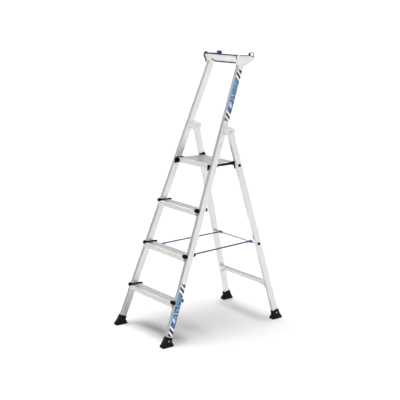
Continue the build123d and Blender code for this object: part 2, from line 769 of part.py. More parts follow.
def left_bevel():
    """What is cut from the front wall's lower edge near its left end, where it slopes back."""
    outline = [(-160, 1513), (-79, 1513), (-46, 1499), (-46, 1480), (-160, 1480)]
    front = xz_prism(outline, tray_front_y - 24, tray_front_y + 26)
    slope = [(140, 1524.3), (tray_front_y, 1513), (163, 1495.4), (163, 1480), (140, 1480)]
    return front & yz_prism(slope, -170, 0)


def tray():
    """Shallow tray with a pocket over each stile's top and a deep cheek outside it."""
    shell = yz_prism(tray_edge + tray_underside, -tray_half, tray_half)
    well_points = [
        (tray_front_y + tray_wall, 1580),
        (tray_front_y + tray_wall, tray_floor + 5),
        (tray_front_y + 7, tray_floor + tray_wall),
        (241, tray_floor + tray_wall),
        (258, 1509),
        (tray_rear_y - tray_wall, 1524),
        (tray_rear_y - tray_wall, 1580),
    ]
    well = yz_prism(well_points, -tray_half + tray_wall, tray_half - tray_wall)
    well -= Pos(tray_wall + 1, tray_wall, 0) * left_corner_wedge()
    well -= Pos(tray_wall, tray_wall, tray_wall) * left_bevel()
    cheek = yz_prism(cheek_outline, tray_half - cheek_skin, tray_half)
    pocket = yz_prism(pocket_outline, pocket_inner, tray_half - 1)
    body = (shell - well) + cheek + mirrored(cheek) + pocket + mirrored(pocket)
    stile_end = stile.blank(1400, stile_top)
    body = body - stile_end - mirrored(stile_end) - left_corner_wedge() - left_bevel()
    return body - tray_rim()


def tray_rim():
    """Dark strip: thick on the front wall, where it turns down at the right-hand corner, and
    thin along the ends and the rear. The stud's boss interrupts it."""
    strip = [(y, z + rim_thickness) for y, z in reversed(tray_edge)]
    outer = tray_half + rim_overhang
    rim = yz_prism(tray_edge + strip, -outer, outer)
    inner = tray_half - tray_wall - 0.5
    rim -= block(-inner, inner, 0, tray_rear_y - tray_wall - 0.5, 0, far)
    front_low_y = tray_front_y - rim_overhang
    front_high_y = tray_front_y + tray_wall + rim_overhang
    rim += block(-inner, outer, front_low_y, front_high_y, rim_front_low, rim_front_high)
    rim += block(*rim_drop_span, front_low_y, tray_front_y + 1, rim_drop_low, rim_front_low + 1)
    return rim - block(140, 160, stud_y - stud_boss_half, stud_y + stud_boss_half, 1500, 1600)


def rim_stud():
    """Round stud on a light boss at the front of the tray's right end."""
    front = stud_y - stud_boss_half
    rear = stud_y + stud_boss_half
    boss = block(tray_half - 3.5, tray_half + 2, front, rear, 1531, 1544.5) - below_edge()
    stud = Pos(tray_half - 1, stud_y, 1546) * Cylinder(3.0, 4)
    ball = Pos(tray_half - 1, stud_y, 1549) * Sphere(4.5)
    return boss + stud + ball


def corner_hook():
    """Curled cable hook on the tray's left front corner, with a stem down its slanting edge."""
    half = 3.2
    plane = Plane(origin=(0, tray_front_y - half, 0), x_dir=(1, 0, 0), z_dir=(0, -1, 0))
    path = plane * ThreePointArc((-115, 1548), (-137.5, 1543.5), (-143.5, 1524))
    section = Plane(origin=path @ 0, x_dir=(0, 1, 0), z_dir=path % 0) * RectangleRounded(6, 6.5, 2)
    stem_outline = [
        (-146.5, 1526),
        (-140.5, 1526),
        (-131.5, 1515),
        (-123.5, 1494),
        (-127, 1494),
        (-136, 1516),
    ]
    stem = xz_prism(stem_outline, tray_front_y - 2 * half, tray_front_y)
    return sweep(section, path=path) + stem - tray_rim()


def rim_clip():
    """Tool clip with two round ears that straddles the tray's front wall."""
    low = rim_front_low - 0.5
    clip = block(-18, 6, tray_front_y - 4, tray_front_y + 8, low, 1553)
    for ear_x in clip_ears:
        clip += Pos(ear_x, tray_front_y, clip_ear_z) * Rot(X=90) * Cylinder(clip_ear_radius, 8)
    return clip - tray_rim() - below_edge()


def ring_holder():
    """Upright ring that stands on the tray's right rear corner."""
    plane = Plane(origin=(ring_x, ring_y, ring_z), x_dir=(0, 1, 0), z_dir=(1, 0, 0))
    ring = extrude(plane * (Circle(ring_radius) - Circle(ring_bore)), 2.0, both=True)
    return ring - below_edge(rim_thickness, far / 10)


def ring_clasp():
    """Dark sleeve round the ring's front side."""
    low = ring_z - 1.0
    clasp = block(ring_x - 3.2, ring_x + 3.2, ring_y - 19, ring_y - 10, low, low + 12.3)
    clasp = fillet(clasp.edges().filter_by(Axis.X), 1.5)
    return clasp - ring_holder()


# ---- labels ---------------------------------------------------------------------------------
def label(low, high):
    """Printed film on the right stile's outer face."""
    thickness = 0.3
    plane = stile.plane(low)
    origin = plane.origin + plane.x_dir * (stile_width / 2)
    face = Plane(origin=origin, x_dir=plane.y_dir, z_dir=plane.x_dir)
    length = (high - low) * stile.stretch
    outline = Pos(0, length / 2) * RectangleRounded(leg_depth - 2 * leg_corner, length, 2)
    return extrude(face * outline, thickness)


# ---- assembly -------------------------------------------------------------------------------
parts = {}


def add(name, *shapes):
    """Keep a node: one solid, or a group of separate solids."""
    solids = [solid for shape in shapes for solid in shape.solids()]
    parts[name] = solids[0] if len(solids) == 1 else Compound(solids)


def add_pair(name, shape):
    """Keep the right-hand piece and its mirror image as two nodes."""
    add("right_" + name, shape)
    add("left_" + name, mirrored(shape))


tread_screws = [screw for height in tread_heights.values() for screw in screws(height)]
rivets = saddle_rivets()
front_rivet = foot_rivet(stile, 32.0, stile.face(32.0) + 18)
rear_rivet = foot_rivet(rear_leg, 36.0, rear_leg.face(36.0) - 18)

right_stile = stile.tube(leg_foot, stile_top)
for drilled in tread_screws + rivets + [front_rivet, pivot_pin()]:
    right_stile -= drilled
add_pair("front_stile", right_stile)
add("tread_screws", *[piece for screw in tread_screws for piece in both(screw)])

for level, height in tread_heights.items():
    add(level + "_tread", tread(height))
    add_pair(level + "_tread_cap", end_cap(height))

saddle = hinge_saddle()
for drilled in rivets + [hinge_pin()]:
    saddle -= drilled
add_pair("hinge_saddle", saddle)
add("hinge_pins", *both(hinge_pin()))
add("saddle_rivets", *[piece for rivet in rivets for piece in both(rivet)])

add("platform_deck", platform_deck())
add_pair("platform_rail", platform_rail())
add_pair("platform_bracket", platform_bracket())
add("platform_pivot_pins", *both(pivot_pin()))

leg_tube = rear_leg_tube() - rear_rivet
add_pair("rear_leg", leg_tube)
add("platform_rest_pins", *both(rest_pin()))
add_pair("rest_pin_guide", rest_pin_guide())
add("upper_crossbar", crossbar())
add("crossbar_plugs", *both(crossbar_plug()))
add("lower_brace", brace())
add_pair("brace_bracket", brace_bracket())
add("brace_rivets", *[piece for rivet in brace_rivets() for piece in both(rivet)])

add_pair("strap_front_half", strap_length_of(0.0, strap_bend))
add_pair("strap_rear_half", strap_length_of(strap_bend, 1.0))
add_pair("strap_anchor", strap_anchor())
add_pair("strap_loop", strap_loop())

front_boot = boot(stile, front_sole_y) - front_rivet
rear_boot = boot(rear_leg, rear_sole_y) - rear_rivet
add_pair("front_boot", front_boot)
add_pair("rear_boot", rear_boot)
add("front_boot_rivets", *both(front_rivet))
add("rear_boot_rivets", *both(rear_rivet))

add("tray", tray())
add("tray_rim", tray_rim())
add("corner_hook", corner_hook())
add("rim_clip", rim_clip())
add("ring_holder", ring_holder())
add("ring_clasp", ring_clasp())
add("rim_stud", rim_stud())
add("upper_label", label(1195.0, 1468.0))
add("lower_label", label(62.0, 333.0))

os.makedirs("parts", exist_ok=True)
for name, shape in parts.items():
    export_step(shape, f"parts/{name}.step")
print(len(parts), "nodes written")
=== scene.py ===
"""Step ladder: materials, woven straps, rounded edges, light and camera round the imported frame.

X runs to the climber's right, Y from the climbing side to the rear and Z up, in metres.
"""

import json
import math

import bmesh
import bpy
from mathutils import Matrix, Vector


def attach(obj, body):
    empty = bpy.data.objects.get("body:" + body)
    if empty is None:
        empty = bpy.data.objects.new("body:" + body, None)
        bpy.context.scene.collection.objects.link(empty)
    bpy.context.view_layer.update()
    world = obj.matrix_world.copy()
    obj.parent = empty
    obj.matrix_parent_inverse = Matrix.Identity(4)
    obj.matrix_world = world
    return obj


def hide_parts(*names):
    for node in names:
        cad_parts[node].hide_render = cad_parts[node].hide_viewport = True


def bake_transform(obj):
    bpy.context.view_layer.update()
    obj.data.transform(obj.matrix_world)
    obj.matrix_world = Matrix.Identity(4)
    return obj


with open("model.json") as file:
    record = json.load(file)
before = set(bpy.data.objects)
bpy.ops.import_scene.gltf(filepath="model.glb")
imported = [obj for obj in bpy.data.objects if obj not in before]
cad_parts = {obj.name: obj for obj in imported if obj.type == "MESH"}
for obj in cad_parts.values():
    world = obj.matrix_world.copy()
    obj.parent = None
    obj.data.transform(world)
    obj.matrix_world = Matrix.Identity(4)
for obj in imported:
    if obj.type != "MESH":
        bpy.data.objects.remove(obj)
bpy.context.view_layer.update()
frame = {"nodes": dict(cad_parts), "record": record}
nodes = frame["nodes"]

# ---- camera -------------------------------------------------------------------------------------
CAMERA_AZIMUTH = 52.985  # degrees round from the climbing side towards the climber's right
CAMERA_ELEVATION = 12.306
CAMERA_DISTANCE = 5.4829
CAMERA_TARGET = Vector((0.0, 0.0081, 0.7226))
LENS = 86.46  # mm, on the sensor below
SENSOR_WIDTH = 36.0

# ---- light and floor ----------------------------------------------------------------------------
# A fade gives the values between which the surroundings change: the height of the direction, or
# its dot product with a side.
WORLD_LIGHT = 0.97  # strength of the white surroundings near the horizon
WORLD_TOP = 0.36  # and overhead
TOP_FADE = (0.22, 0.52)
DIM_SIDE = Vector((-0.80, -0.60, 0.0))  # the surroundings are dimmer towards here
DIM_SHARE = 0.50
DIM_FADE = (0.35, 0.95)
GLOW_SIDE = Vector((-0.84, 0.02, 0.54))  # a soft patch of light, seen in rounded edges
GLOW = 0.85
GLOW_FADE = (0.80, 0.92)

SUN_PLACE = (-0.15, -0.15, 4.0)
SUN_SPREAD = 38.0  # degrees
SUN_STRENGTH = 5.3
EDGE_LIGHT_PLACE = (-3.1, 0.5, 3.1)
EDGE_LIGHT_SIZE = 1.0
EDGE_LIGHT_POWER = 16.0
LIGHT_TARGET = (0.0, 0.0, 0.7)

FLOOR_ALBEDO = 0.48
FLOOR_REACH = 250.0

# ---- directions of the profiles: sideways and front-to-rear run per unit of height ---------------
LEG_TAPER = 0.0665
STILE_LEAN = 0.392
REAR_LEAN = -0.267

# ---- colours ------------------------------------------------------------------------------------
WHITE = (1.0, 1.0, 1.0, 1.0)
ALUMINIUM = (0.755, 0.755, 0.75)
TREAD_ALUMINIUM = (0.67, 0.662, 0.655)
CROSSBAR_ALUMINIUM = (0.55, 0.55, 0.54)
BRACKET_ALUMINIUM = (0.76, 0.76, 0.75)
BLACK_PLASTIC = (0.002, 0.002, 0.002)
RUBBER = (0.005, 0.005, 0.005)
TRAY_WHITE = (0.85, 0.83, 0.815)
RIM_BLUE = (0.003, 0.010, 0.040)
HOOK_BLUE = (0.004, 0.018, 0.070)
CLIP_BLUE = (0.010, 0.045, 0.16)
THREAD_BLUE = (0.10, 0.16, 0.34)
WEBBING_DARK = (0.006, 0.022, 0.065)
WEBBING_LIGHT = (0.028, 0.11, 0.27)
WEBBING_EDGE = (0.012, 0.035, 0.12)
LABEL_NAVY = (0.003, 0.010, 0.04)
LABEL_DEEP_BLUE = (0.05, 0.15, 0.40)
LABEL_BLUE = (0.11, 0.30, 0.58)
LABEL_PALE = (0.50, 0.70, 0.88)
LABEL_WHITE = (0.88, 0.91, 0.93)

# ---- labels -------------------------------------------------------------------------------------
LABEL_WIDTH = 0.0324
LABEL_FRONT_EDGE = (0.244, -0.418, 0.0)  # a point on the line of the labels' front edge
LABEL_SLANT = 0.62 * LABEL_WIDTH  # how much a stripe climbs across the label
STRIPE_LIMITS = (0.0, 0.012, 0.028, 0.041)  # white, navy, white and the field begin here
STRIPE_BLUR = 0.0006
PRINT_PITCH = 0.021
PRINT_HALF_SHARE = 0.33  # half the share of the width that carries marks
# Distances from a label's slanting ends, from its top or its foot, over which the field changes:
FIELD_FADE = (0.020, 0.075)  # from either end, navy turns blue
DEEP_FADE = (0.10, 0.16)  # from the top, blue turns deeper
MARKS_START = 0.060  # pale marks begin here from either end
PALE_FADE = (0.12, 0.14)  # and reach their full strength here from the top
DARK_FADE = (0.06, 0.08)  # dark marks begin here from the top
PANEL_START = (0.067, 0.070)  # the pale panel's lower edge, from the foot
PANEL_END = (0.088, 0.092)  # and its upper edge
UPPER_LABEL_ENDS = (1.1185, 1.4122)  # along the stile
LOWER_LABEL_ENDS = (-0.1006, 0.1910)

# ---- rounded edges: bevel widths and what counts as an edge ---------------------------------------
BOOT_ROUNDING = 0.0012
CAP_ROUNDING = 0.0006
BRACKET_ROUNDING = 0.0005
SADDLE_ROUNDING = 0.0004
TRAY_ROUNDING = 0.0009
CLIP_ROUNDING = 0.0006
SAME_POINT = 0.00002
FLAT_ANGLE = 0.7  # degrees: faces closer than this are joined
SHARP_ANGLE = 35.0  # degrees: edges sharper than this are rounded

# ---- straps -------------------------------------------------------------------------------------
STRAP_START = (0.150, -0.170, 0.460)  # the right strap's ends on its middle line
STRAP_END = (0.141, 0.2645, 0.469)
STRAP_DRIFT = (STRAP_END[0] - STRAP_START[0]) / (STRAP_END[1] - STRAP_START[1])
STRAP_WIDTH = 0.022
STRAP_THICKNESS = 0.0016
WEAVE_PITCH = 0.0032
WEAVE_RELIEF = 0.00014
WEAVE_SLANT = 0.9  # how far the herringbone runs back per unit of width
RING_STEPS = 12

OVERLAP_SHARES = {"front": (0.0, 0.075), "rear": (0.915, 1.0)}  # shares of the strap's length
OVERLAP_INSET = 0.0004
OVERLAP_HALF_THICKNESS = 0.0007
OVERLAP_DROP = -0.0016
OVERLAP_ROWS = 24

STITCH_SHARES = {"front": (0.012, 0.066), "rear": (0.93, 0.985)}
STITCH_INSET = 0.003
STITCH_PITCH = 0.0027
STITCH_LENGTH = 0.0019
STITCH_RADIUS = 0.0004
STITCH_LIFT = STRAP_THICKNESS / 2 + 0.00005  # above the strap
STITCH_DROP = -0.0024  # below the overlap

# ---- painted shade: a dark strip on the tray's front wall -----------------------------------------
SHADE_STRIP_LINE = [(-0.079, 1.5142), (-0.0465, 1.5022), (-0.040, 1.5012), (0.142, 1.5012)]  # X and Z
SHADE_STRIP_MIDDLE_Y = 0.1495
SHADE_STRIP_HALF_DEPTH = 0.0014 * 1.08  # to the corners of its eight-sided section
SHADE_STRIP_HALF_HEIGHT = 0.0035 * 1.08


# ---- small helpers ------------------------------------------------------------------------------
def link(piece):
    """Put an object into the scene."""
    bpy.context.scene.collection.objects.link(piece)
    return piece


def new_piece(name, mesh, slot):
    """An object with a mesh and one slot's material."""
    mesh.materials.append(slot_materials[slot])
    return link(bpy.data.objects.new(name, mesh))


def shade_softly(mesh, angle=38.0):
    """Smooth shading, with edges sharper than an angle kept crisp."""
    mesh.shade_smooth()
    mesh.set_sharp_from_angle(angle=math.radians(angle))


def new_material(name, color, roughness=0.5, metallic=0.0):
    """Principled material with plain values on its sockets."""
    material = bpy.data.materials.new(name)
    material.use_nodes = True
    shader = material.node_tree.nodes["Principled BSDF"]
    shader.inputs["Base Color"].default_value = (*color, 1.0)
    shader.inputs["Roughness"].default_value = roughness
    shader.inputs["Metallic"].default_value = metallic
    return material


def shaded(color, factor):
    """A darker or lighter colour."""
    return tuple(min(1.0, factor * channel) for channel in color)


class Tree:
    """Short names for adding and joining the nodes of a material or of the world."""

    def __init__(self, owner):
        self.nodes = owner.node_tree.nodes
        self.links = owner.node_tree.links
        self.shader = self.nodes.get("Principled BSDF")

    def add(self, kind, inputs=None, **settings):
        """A node with settings, and inputs that are values or other nodes' outputs."""
        node = self.nodes.new(kind)
        for key, value in settings.items():
            setattr(node, key, value)
        for key, value in (inputs or {}).items():
            self.put(node.inputs[key], value)
        return node

    def put(self, socket, value):
        """Give a socket a value or link an output to it."""
        if isinstance(value, bpy.types.NodeSocket):
            self.links.new(value, socket)
        else:
            socket.default_value = value

    def position(self, along=None):
        """Object coordinates, turned so that Z runs along a direction."""
        coordinates = self.add("ShaderNodeTexCoord").outputs["Object"]
        if along is None:
            return coordinates
        turn = Vector(along).normalized().rotation_difference(Vector((0, 0, 1))).to_euler()
        mapping = self.add("ShaderNodeMapping", {"Vector": coordinates, "Rotation": turn})
        return mapping.outputs["Vector"]

    def noise(self, vector, scale, stretch=(1, 1, 1), detail=3.0):
        """Noise with so many features to the metre; a stretch below 1 draws them out."""
        scaled = self.add("ShaderNodeMapping", {"Vector": vector, "Scale": stretch})
        inputs = {"Vector": scaled.outputs["Vector"], "Scale": scale, "Detail": detail}
        return self.add("ShaderNodeTexNoise", inputs).outputs["Fac"]

    def math(self, operation, first, second=0.5, third=0.0):
        """One arithmetic step."""
        node = self.add("ShaderNodeMath", {0: first, 1: second, 2: third}, operation=operation)
        return node.outputs[0]

    def dot(self, vector, direction):
        """How far a vector runs in a direction."""
        inputs = {0: vector, 1: direction}
        return self.add("ShaderNodeVectorMath", inputs, operation="DOT_PRODUCT").outputs["Value"]

    def span(self, value, low, high, to_low=0.0, to_high=1.0, curve="LINEAR"):
        """Map a range to another, clamped."""
        inputs = {
            "Value": value,
            "From Min": low,
            "From Max": high,
            "To Min": to_low,
            "To Max": to_high,
        }
        return self.add("ShaderNodeMapRange", inputs, interpolation_type=curve).outputs["Result"]

    def mix(self, factor, first, second):
        """Blend two colours."""
        node = self.add("ShaderNodeMix", data_type="RGBA")
        self.put(node.inputs[0], factor)
        self.put(node.inputs[6], first if not isinstance(first, tuple) else (*first, 1.0))
        self.put(node.inputs[7], second if not isinstance(second, tuple) else (*second, 1.0))
        return node.outputs[2]

    def bump(self, height, strength, distance):
        """Bump from a height in metres times distance."""
        inputs = {"Height": height, "Strength": strength, "Distance": distance}
        self.put(self.shader.inputs["Normal"], self.add("ShaderNodeBump", inputs).outputs["Normal"])

    def color(self, value):
        """The shader's base colour."""
        self.put(self.shader.inputs["Base Color"], value)

    def roughness(self, value):
        """The shader's roughness."""
        self.put(self.shader.inputs["Roughness"], value)

    def gloss(self, level):
        """The shader's specular level."""
        self.shader.inputs["Specular IOR Level"].default_value = level


# ---- camera and stage ---------------------------------------------------------------------------
def add_camera():
    """The camera at the object's usual viewing angle."""
    data = bpy.data.cameras.new("camera")
    data.lens = LENS
    data.sensor_width = SENSOR_WIDTH
    azimuth = math.radians(CAMERA_AZIMUTH)
    elevation = math.radians(CAMERA_ELEVATION)
    flat = math.cos(elevation)
    away = Vector((math.sin(azimuth) * flat, -math.cos(azimuth) * flat, math.sin(elevation)))
    camera = link(bpy.data.objects.new("camera", data))
    camera.location = CAMERA_TARGET + away * CAMERA_DISTANCE
    camera.rotation_euler = away.to_track_quat("Z", "Y").to_euler()
    bpy.context.scene.camera = camera


def add_lamp(name, data, place):
    """A lamp at a place, turned to the ladder and hidden from the camera."""
    lamp = link(bpy.data.objects.new(name, data))
    lamp.location = place
    lamp.rotation_euler = (Vector(place) - Vector(LIGHT_TARGET)).to_track_quat("Z", "Y").to_euler()
    lamp.visible_camera = False


def add_lights():
    """Wide light from overhead that reaches the whole floor, and a soft one for the left edges."""
    sun = bpy.data.lights.new("sky_light", "SUN")
    sun.angle = math.radians(SUN_SPREAD)
    sun.energy = SUN_STRENGTH
    add_lamp("sky_light", sun, SUN_PLACE)
    square = bpy.data.lights.new("edge_light", "AREA")
    square.size = EDGE_LIGHT_SIZE
    square.energy = EDGE_LIGHT_POWER
    add_lamp("edge_light", square, EDGE_LIGHT_PLACE)


def add_world():
    """White studio: bright all round, greyer overhead and on one side, plain white behind all."""
    world = bpy.data.worlds.new("studio")
    world.use_nodes = True
    tree = Tree(world)
    direction = tree.add("ShaderNodeTexCoord").outputs["Generated"]
    height = tree.add("ShaderNodeSeparateXYZ", {0: direction}).outputs["Z"]
    smooth = "SMOOTHSTEP"
    base = tree.span(height, *TOP_FADE, WORLD_LIGHT, WORLD_TOP, smooth)
    dimming = tree.span(tree.dot(direction, DIM_SIDE), *DIM_FADE, 1.0, DIM_SHARE, smooth)
    glow = tree.span(tree.dot(direction, GLOW_SIDE), *GLOW_FADE, 0.0, GLOW, smooth)
    strength = tree.math("ADD", tree.math("MULTIPLY", base, dimming), glow)
    lighting = tree.nodes["Background"]
    tree.put(lighting.inputs["Color"], WHITE)
    tree.put(lighting.inputs["Strength"], strength)
    backdrop = tree.add("ShaderNodeBackground", {"Color": WHITE, "Strength": 1.0})
    is_backdrop = tree.add("ShaderNodeLightPath").outputs["Is Camera Ray"]
    inputs = {0: is_backdrop, 1: lighting.outputs[0], 2: backdrop.outputs[0]}
    mixed = tree.add("ShaderNodeMixShader", inputs)
    tree.put(tree.nodes["World Output"].inputs["Surface"], mixed.outputs[0])
    bpy.context.scene.world = world


def add_floor():
    """A wide pale matt floor."""
    material = new_material("floor", (FLOOR_ALBEDO, FLOOR_ALBEDO, FLOOR_ALBEDO), roughness=0.9)
    Tree(material).gloss(0.0)
    reach = FLOOR_REACH
    corners = [(-reach, -reach, 0), (reach, -reach, 0), (reach, reach, 0), (-reach, reach, 0)]
    mesh = bpy.data.meshes.new("floor")
    mesh.from_pydata(corners, [], [(0, 1, 2, 3)])
    mesh.materials.append(material)
    floor = link(bpy.data.objects.new("floor", mesh))


# ---- materials ----------------------------------------------------------------------------------
def extruded_aluminium(name, color, along, roughness=0.28):
    """Anodised profile: fine drawing lines along its run, faint cloudiness across it."""
    material = new_material(name, color, roughness, metallic=1.0)
    tree = Tree(material)
    place = tree.position(along)
    lines = tree.noise(place, 900.0, stretch=(1, 1, 0.006), detail=2.0)
    cloud = tree.noise(place, 9.0, stretch=(1, 1, 0.35))
    shade = tree.math("ADD", tree.math("MULTIPLY", lines, 0.45), tree.math("MULTIPLY", cloud, 0.55))
    tree.color(tree.mix(tree.span(shade, 0.32, 0.68), shaded(color, 0.90), shaded(color, 1.05)))
    tree.roughness(tree.span(shade, 0.3, 0.7, roughness - 0.05, roughness + 0.08))
    tree.bump(lines, 0.12, 0.00012)
    return material


def moulded_plastic(name, color, roughness, gloss=0.5, grain=1400.0, depth=0.00006, wear=0.13):
    """Moulded plastic or rubber: spark-eroded grain and slight wear-like clouding."""
    material = new_material(name, color, roughness)
    tree = Tree(material)
    tree.gloss(gloss)
    place = tree.position()
    fine = tree.noise(place, grain, detail=2.0)
    cloud = tree.noise(place, 22.0, detail=4.0)
    worn = tree.span(cloud, 0.35, 0.65)
    tree.color(tree.mix(worn, shaded(color, 1.0 - wear), shaded(color, 1.0 + wear)))
    tree.roughness(tree.span(cloud, 0.3, 0.7, roughness - 0.06, roughness + 0.08))
    tree.bump(fine, 0.5, depth)
    return material


def zinc_plate(name, shade=1.0):
    """Zinc-plated steel with faint mottling."""
    material = new_material(name, shaded((0.62, 0.62, 0.61), shade), 0.3, metallic=1.0)
    tree = Tree(material)
    mottle = tree.noise(tree.position(), 260.0, detail=5.0)
    dark = shaded((0.52, 0.52, 0.50), shade)
    light = shaded((0.70, 0.70, 0.70), shade)
    tree.color(tree.mix(tree.span(mottle, 0.35, 0.65), dark, light))
    tree.roughness(tree.span(mottle, 0.3, 0.7, 0.24, 0.42))
    return material


def beyond(tree, distance, limit):
    """1 past a limit and 0 before it, with a slightly soft edge."""
    return tree.span(distance, limit - STRIPE_BLUR, limit + STRIPE_BLUR)


def label_field(tree, place, run, side, from_top, from_foot, inward):
    """A label's blue field: darker at its ends, with pale and dark marks and a pale panel."""
    field = tree.mix(tree.span(inward, *FIELD_FADE), LABEL_NAVY, LABEL_BLUE)
    field = tree.mix(tree.span(from_top, *DEEP_FADE), field, LABEL_DEEP_BLUE)
    off_middle = tree.math("ABSOLUTE", tree.math("SUBTRACT", side, 0.5))
    inside = tree.math("LESS_THAN", off_middle, PRINT_HALF_SHARE)

    rows = tree.math("SINE", tree.math("MULTIPLY", run, 2 * math.pi / PRINT_PITCH))
    specks = tree.noise(place, 95.0, detail=2.0)
    pale = tree.math("MULTIPLY", tree.span(rows, -0.5, 0.0), tree.span(specks, 0.47, 0.53))
    pale = tree.math("MULTIPLY", pale, inside)
    pale = tree.math("MULTIPLY", pale, tree.span(from_top, *PALE_FADE, 0.45, 1.0))
    pale = tree.math("MULTIPLY", pale, beyond(tree, inward, MARKS_START))
    field = tree.mix(pale, field, LABEL_PALE)

    blots = tree.noise(place, 120.0, stretch=(1, 1, 1.1), detail=2.0)
    dark = tree.math("MULTIPLY", tree.span(blots, 0.53, 0.57), tree.span(from_top, *DARK_FADE))
    field = tree.mix(tree.math("MULTIPLY", dark, 0.85), field, LABEL_NAVY)

    above = tree.span(from_foot, *PANEL_START)
    below = tree.span(from_foot, *PANEL_END, 1.0, 0.0)
    panel = tree.math("MULTIPLY", tree.math("MULTIPLY", above, below), inside)
    return tree.mix(panel, field, LABEL_PALE)


def striped_label(name, low_end, high_end):
    """Printed film on the stile's outer face: slanting navy and white stripes at both ends and a
    blue field between them. The ends are given along the stile."""
    material = new_material(name, (0.10, 0.28, 0.55), 0.32)
    tree = Tree(material)
    tree.gloss(0.3)
    place = tree.position()
    along = Vector((-LEG_TAPER, STILE_LEAN, 1)).normalized()
    across = Vector((1, 0, 0)) - along * along.x
    rearward = along.cross(across.normalized())
    front_edge = Vector(LABEL_FRONT_EDGE).dot(rearward)

    run = tree.dot(place, along)
    behind = tree.math("SUBTRACT", tree.dot(place, rearward), front_edge)
    side = tree.math("DIVIDE", behind, LABEL_WIDTH)
    drop = tree.math("MULTIPLY", side, LABEL_SLANT)
    rise = tree.math("MULTIPLY", tree.math("SUBTRACT", 1.0, side), LABEL_SLANT)
    from_top = tree.math("SUBTRACT", tree.math("SUBTRACT", high_end, run), drop)
    from_foot = tree.math("SUBTRACT", tree.math("SUBTRACT", run, low_end), rise)
    inward = tree.math("MINIMUM", from_top, from_foot)

    # Going inwards from an end: navy corner, white, navy, white, then the blue field.
    field = label_field(tree, place, run, side, from_top, from_foot, inward)
    shade = LABEL_NAVY
    for limit, color in zip(STRIPE_LIMITS, (LABEL_WHITE, LABEL_NAVY, LABEL_WHITE, field)):
        shade = tree.mix(beyond(tree, inward, limit), shade, color)
    fine = tree.noise(place, 420.0)
    tree.color(tree.mix(tree.span(fine, 0.4, 0.9, 0.0, 0.12), shade, LABEL_WHITE))
    tree.roughness(tree.span(fine, 0.3, 0.7, 0.26, 0.4))
    return material


def woven_webbing(name):
    """Polyester webbing: herringbone twill in two blues, with plainer edges."""
    material = new_material(name, (0.03, 0.08, 0.24), 0.85)
    tree = Tree(material)
    place = tree.position()
    axes = tree.add("ShaderNodeSeparateXYZ", {0: place}).outputs
    behind = tree.math("SUBTRACT", axes["Y"], STRAP_START[1])
    middle = tree.math("MULTIPLY_ADD", behind, STRAP_DRIFT, STRAP_START[0])
    off_middle = tree.math("SUBTRACT", tree.math("ABSOLUTE", axes["X"]), middle)
    side = tree.math("ABSOLUTE", off_middle)
    slanting = tree.math("ADD", axes["Y"], tree.math("MULTIPLY", side, WEAVE_SLANT))
    phase = tree.math("MULTIPLY", slanting, 2 * math.pi / WEAVE_PITCH)
    twill = tree.span(tree.math("SINE", phase), -0.6, 0.6)
    yarn = tree.noise(place, 1500.0, stretch=(1, 0.25, 1), detail=2.0)
    shade = tree.mix(twill, WEBBING_DARK, WEBBING_LIGHT)
    shade = tree.mix(tree.span(side, 0.0088, 0.0093), shade, WEBBING_EDGE)
    tree.color(tree.mix(tree.span(yarn, 0.3, 0.7, 0.0, 0.5), shade, WEBBING_DARK))
    tree.bump(yarn, 0.6, 0.0002)
    return material


def paint():
    """Give every CAD node the material of its own name, or of its slot."""
    for part in frame["record"]["subparts"]:
        name = part["node"]
        material = slot_materials.get(name) or slot_materials[part["material_slot"]]
        mesh = nodes[name].data
        mesh.materials.clear()
        mesh.materials.append(material)


# ---- CAD pieces with rounded edges --------------------------------------------------------------
def soften(name, width):
    """Show a copy of a CAD piece with rounded edges in its place."""
    mesh = nodes[name].data.copy()
    form = bmesh.new()
    form.from_mesh(mesh)
    bmesh.ops.remove_doubles(form, verts=form.verts, dist=SAME_POINT)
    flat = math.radians(FLAT_ANGLE)
    bmesh.ops.dissolve_limit(form, angle_limit=flat, verts=form.verts, edges=form.edges)
    sharp = math.radians(SHARP_ANGLE)
    edges = [edge for edge in form.edges if edge.is_manifold and edge.calc_face_angle() > sharp]
    bmesh.ops.bevel(
        form, geom=edges, offset=width, segments=3, profile=0.5, affect="EDGES", clamp_overlap=True
    )
    form.to_mesh(mesh)
    form.free()
    shade_softly(mesh)
    piece = link(bpy.data.objects.new(name + "_rounded", mesh))
    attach(piece, body_of[name])
    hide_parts(name)


def soften_side(side):
    """Rounded edges on one side's moulded pieces and its hinge saddle."""
    for end in ("front", "rear"):
        soften(f"{side}_{end}_boot", BOOT_ROUNDING)
    for level in ("lower", "middle", "upper"):
        soften(f"{side}_{level}_tread_cap", CAP_ROUNDING)
    soften(side + "_platform_bracket", BRACKET_ROUNDING)
    soften(side + "_platform_rail", BRACKET_ROUNDING)
    soften(side + "_rest_pin_guide", BRACKET_ROUNDING)
    soften(side + "_hinge_saddle", SADDLE_ROUNDING)


# ---- straps -------------------------------------------------------------------------------------
def tube_mesh(name, rings):
    """Surface through rings of points, with capped ends."""
    width = len(rings[0])
    faces = []
    for index in range(len(rings) - 1):
        for step in range(width):
            here = index * width + step
            beside = index * width + (step + 1) % width
            faces.append((here, beside, beside + width, here + width))
    faces.append(tuple(range(width - 1, -1, -1)))
    faces.append(tuple(range((len(rings) - 1) * width, len(rings) * width)))
    mesh = bpy.data.meshes.new(name)
    mesh.from_pydata([point for ring in rings for point in ring], [], faces)
    mesh.update()
    return mesh


def strap_line(sign):
    """A strap's two ends, and the directions across it and up from it."""
    start = Vector((STRAP_START[0] * sign, STRAP_START[1], STRAP_START[2]))
    end = Vector((STRAP_END[0] * sign, STRAP_END[1], STRAP_END[2]))
    run = (end - start).normalized()
    sideways = Vector((1, -run.x / run.y, 0)).normalized()
    return start, end, sideways, sideways.cross(run)


